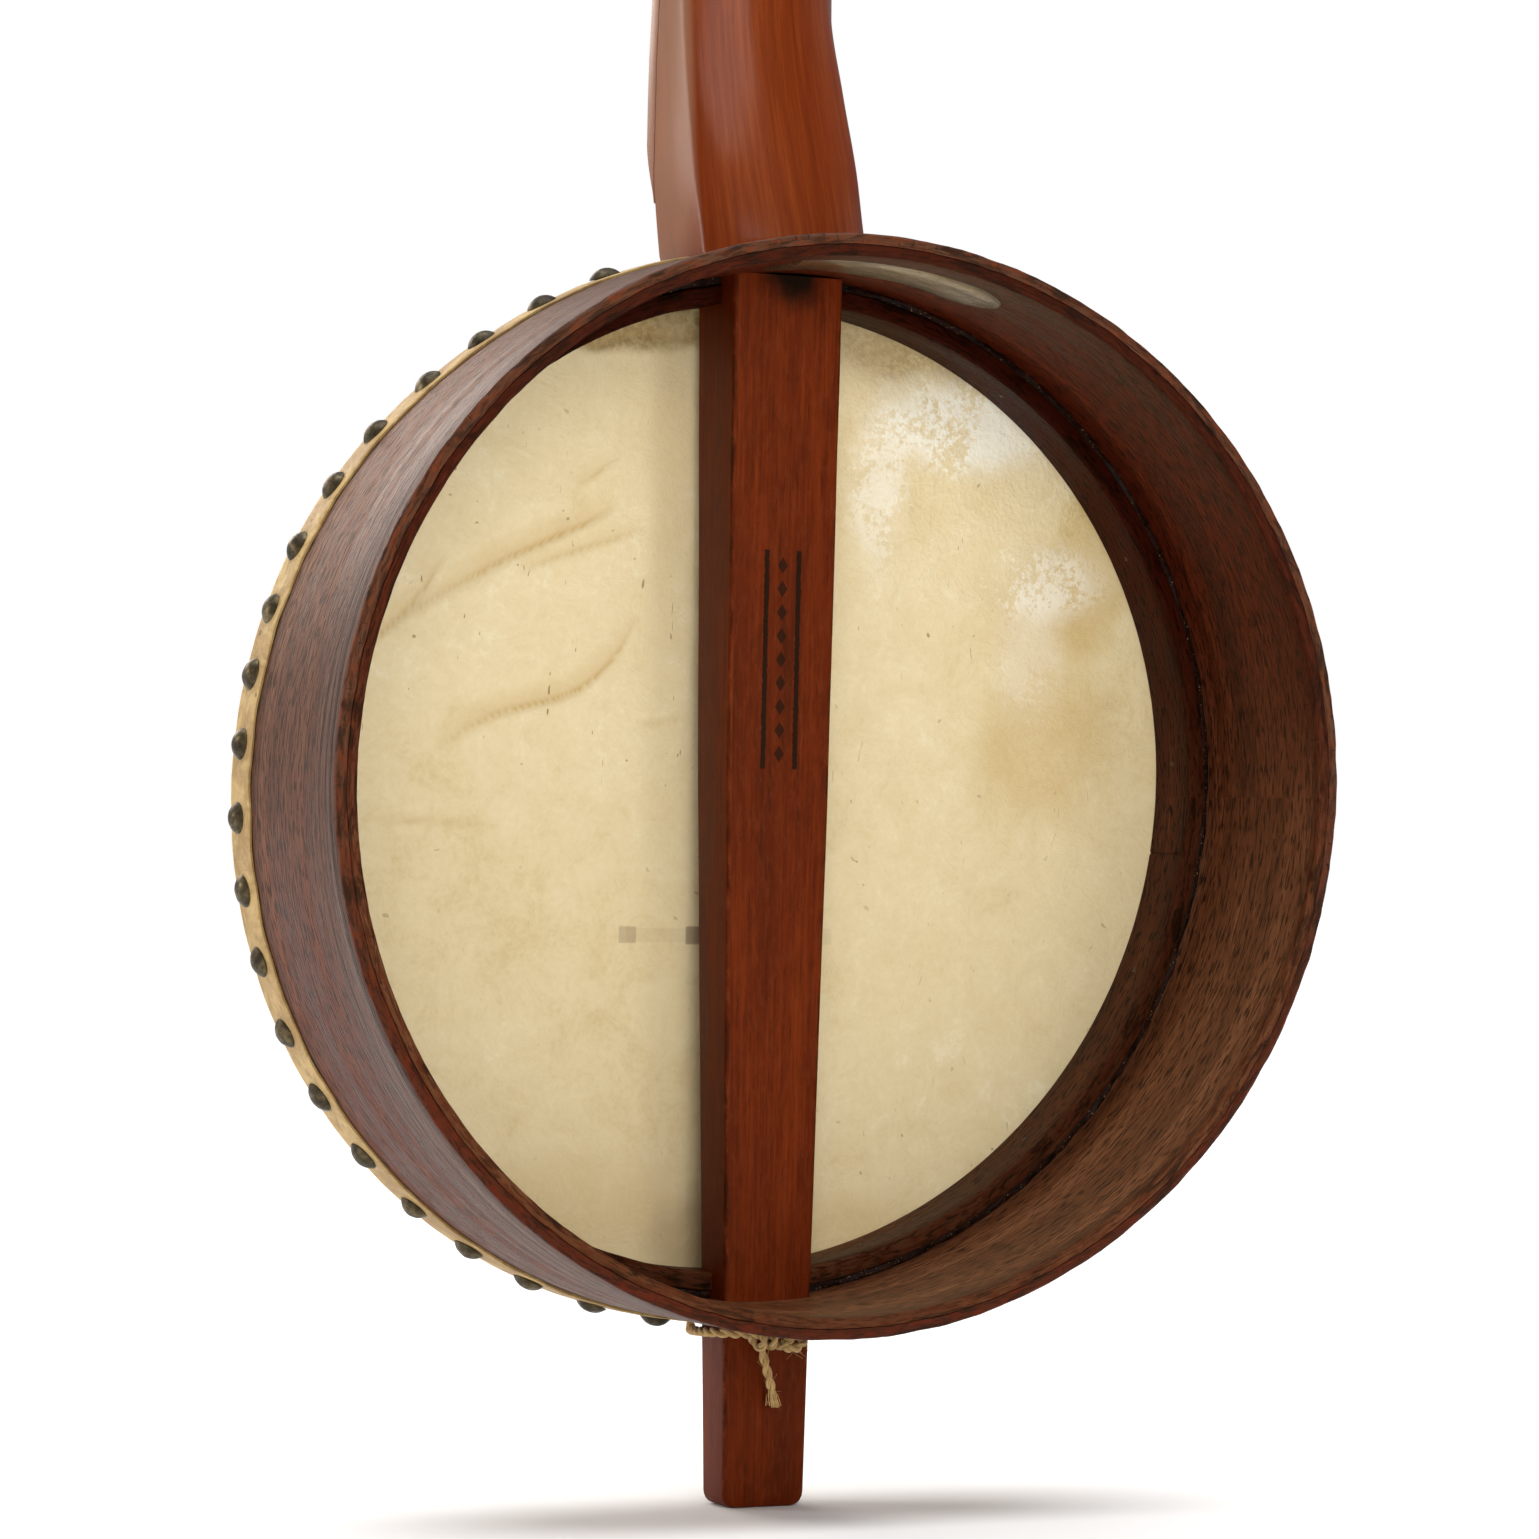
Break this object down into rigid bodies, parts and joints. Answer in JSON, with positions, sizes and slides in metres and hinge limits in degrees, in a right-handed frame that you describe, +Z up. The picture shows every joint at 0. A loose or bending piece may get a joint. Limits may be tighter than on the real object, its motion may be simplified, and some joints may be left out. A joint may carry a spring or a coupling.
{
  "type": "tack-head banjo",
  "caption": "Open-back fretless banjo: bent two-ply hoop with a tacked skin, a square perch pole through it, friction pegs and a twine tail cord.",
  "frame": {"origin": "centre of the pot's open back edge, on the pot's axis, in the plane of that edge", "axes": "+Z up the neck to the peghead, +Y out of the open back, -Y the playing side, +X the first string's side"},
  "size_m": [0.3266, 0.0985, 0.9897],
  "materials": {
    "rim_wood": "bent oak, oiled, worn at the edges",
    "ring_wood": "dark stained, oiled",
    "ply_end": "thin scarfed end under old glossy glue",
    "pole_wood": "red-brown, oiled satin",
    "neck_wood": "red-brown, oiled satin",
    "board_wood": "dark, oiled",
    "peg_wood": "dark, turned and carved, satin",
    "bridge_wood": "pale maple, waxed",
    "glue": "dark hide glue line",
    "skin": "translucent calfskin parchment",
    "tack_bronze": "old bronze, dark patina",
    "brad_steel": "dull steel",
    "bone": "polished bone",
    "string_gut": "gut, satin",
    "twine": "two-ply hemp twine"
  },
  "bodies": {
    "instrument": {"rim_outer_ply": "rim_wood", "rim_inner_ply": "rim_wood", "rim_lap_tongue": "ply_end", "head_ring": "ring_wood", "ring_glue_line": "glue", "ring_brads": "brad_steel", "skin_head": "skin", "head_tacks": "tack_bronze", "perch_pole": "pole_wood", "neck": "neck_wood", "fingerboard": "neck_wood", "peghead_overlay": "board_wood", "nut": "bone", "fifth_string_nut": "bone", "bridge": "bridge_wood", "tailpiece": "board_wood", "string_1": "string_gut", "string_2": "string_gut", "string_3": "string_gut", "string_4": "string_gut", "string_5": "string_gut", "tail_cord": "twine", "tail_knot": "twine", "tail_cord_end": "twine"},
    "tuning_peg_1": {"peg_1": "peg_wood", "string_winding_1": "string_gut"},
    "tuning_peg_2": {"peg_2": "peg_wood", "string_winding_2": "string_gut"},
    "tuning_peg_3": {"peg_3": "peg_wood", "string_winding_3": "string_gut"},
    "tuning_peg_4": {"peg_4": "peg_wood", "string_winding_4": "string_gut"},
    "tuning_peg_5": {"peg_5": "peg_wood", "string_winding_5": "string_gut"}
  },
  "joints": [
    {"name": "peg_1_turn", "type": "hinge", "parent": "instrument", "child": "tuning_peg_1", "pos_m": [0.014, -0.07264, 0.67102], "axis": [0, 0.9781, -0.2079], "continuous": true},
    {"name": "peg_2_turn", "type": "hinge", "parent": "instrument", "child": "tuning_peg_2", "pos_m": [0.017, -0.06329, 0.71503], "axis": [0, 0.9781, -0.2079], "continuous": true},
    {"name": "peg_3_turn", "type": "hinge", "parent": "instrument", "child": "tuning_peg_3", "pos_m": [-0.017, -0.06329, 0.71503], "axis": [0, 0.9781, -0.2079], "continuous": true},
    {"name": "peg_4_turn", "type": "hinge", "parent": "instrument", "child": "tuning_peg_4", "pos_m": [-0.014, -0.07264, 0.67102], "axis": [0, 0.9781, -0.2079], "continuous": true},
    {"name": "peg_5_turn", "type": "hinge", "parent": "instrument", "child": "tuning_peg_5", "pos_m": [-0.0207, -0.077, 0.482], "axis": [-1, 0, 0], "continuous": true}
  ]
}
